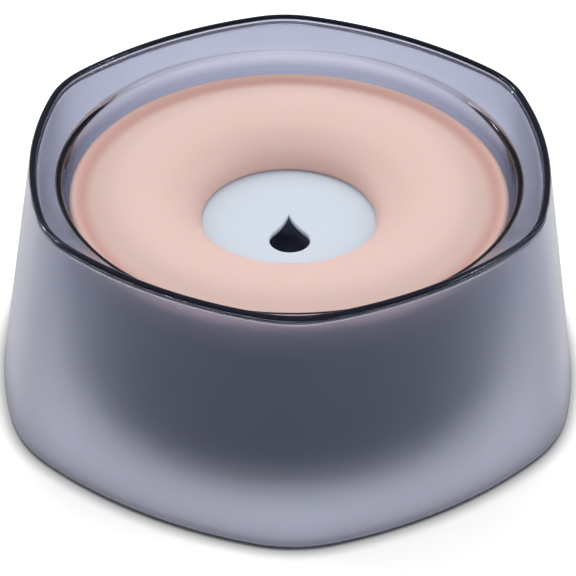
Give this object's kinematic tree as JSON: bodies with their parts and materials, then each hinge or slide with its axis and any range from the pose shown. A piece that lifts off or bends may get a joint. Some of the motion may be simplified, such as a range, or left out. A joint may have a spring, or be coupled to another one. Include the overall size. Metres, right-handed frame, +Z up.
{
  "type": "no spill dog water bowl with a floating cover",
  "caption": "Six-sided translucent water bowl with a flared skirt and a round basin, in which a hollow ring-shaped float carries a sunken drinking plate with a drop-shaped hole.",
  "frame": {"origin": "middle of the bowl, on the surface that its pads stand on", "axes": "+Z up along the bowl's axis, -Y towards the viewer through one corner of the six-sided rim, +X through the middle of a flat side"},
  "size_m": [0.2098, 0.218, 0.088],
  "materials": {
    "smoke_plastic": "translucent smoke blue, glossy rim and inside, frosted skirt",
    "peach_plastic": "fine matte",
    "pale_plastic": "smooth satin",
    "silicone_seal": "matte silicone",
    "silicone_pad": "matte silicone"
  },
  "bodies": {
    "bowl": {"bowl_body": "smoke_plastic", "foot_pad_1": "silicone_pad", "foot_pad_2": "silicone_pad", "foot_pad_3": "silicone_pad", "foot_pad_4": "silicone_pad", "foot_pad_5": "silicone_pad", "foot_pad_6": "silicone_pad"},
    "float": {"float_cover": "peach_plastic", "float_hull": "pale_plastic", "float_outer_seal": "silicone_seal", "float_inner_seal": "silicone_seal"}
  },
  "joints": [
    {"name": "float_rise", "type": "slide", "parent": "bowl", "child": "float", "axis": [0, 0, 1], "range_m": [-0.049, 0.04], "stiffness_N_per_m": 144, "springref_m": 0.006}
  ]
}
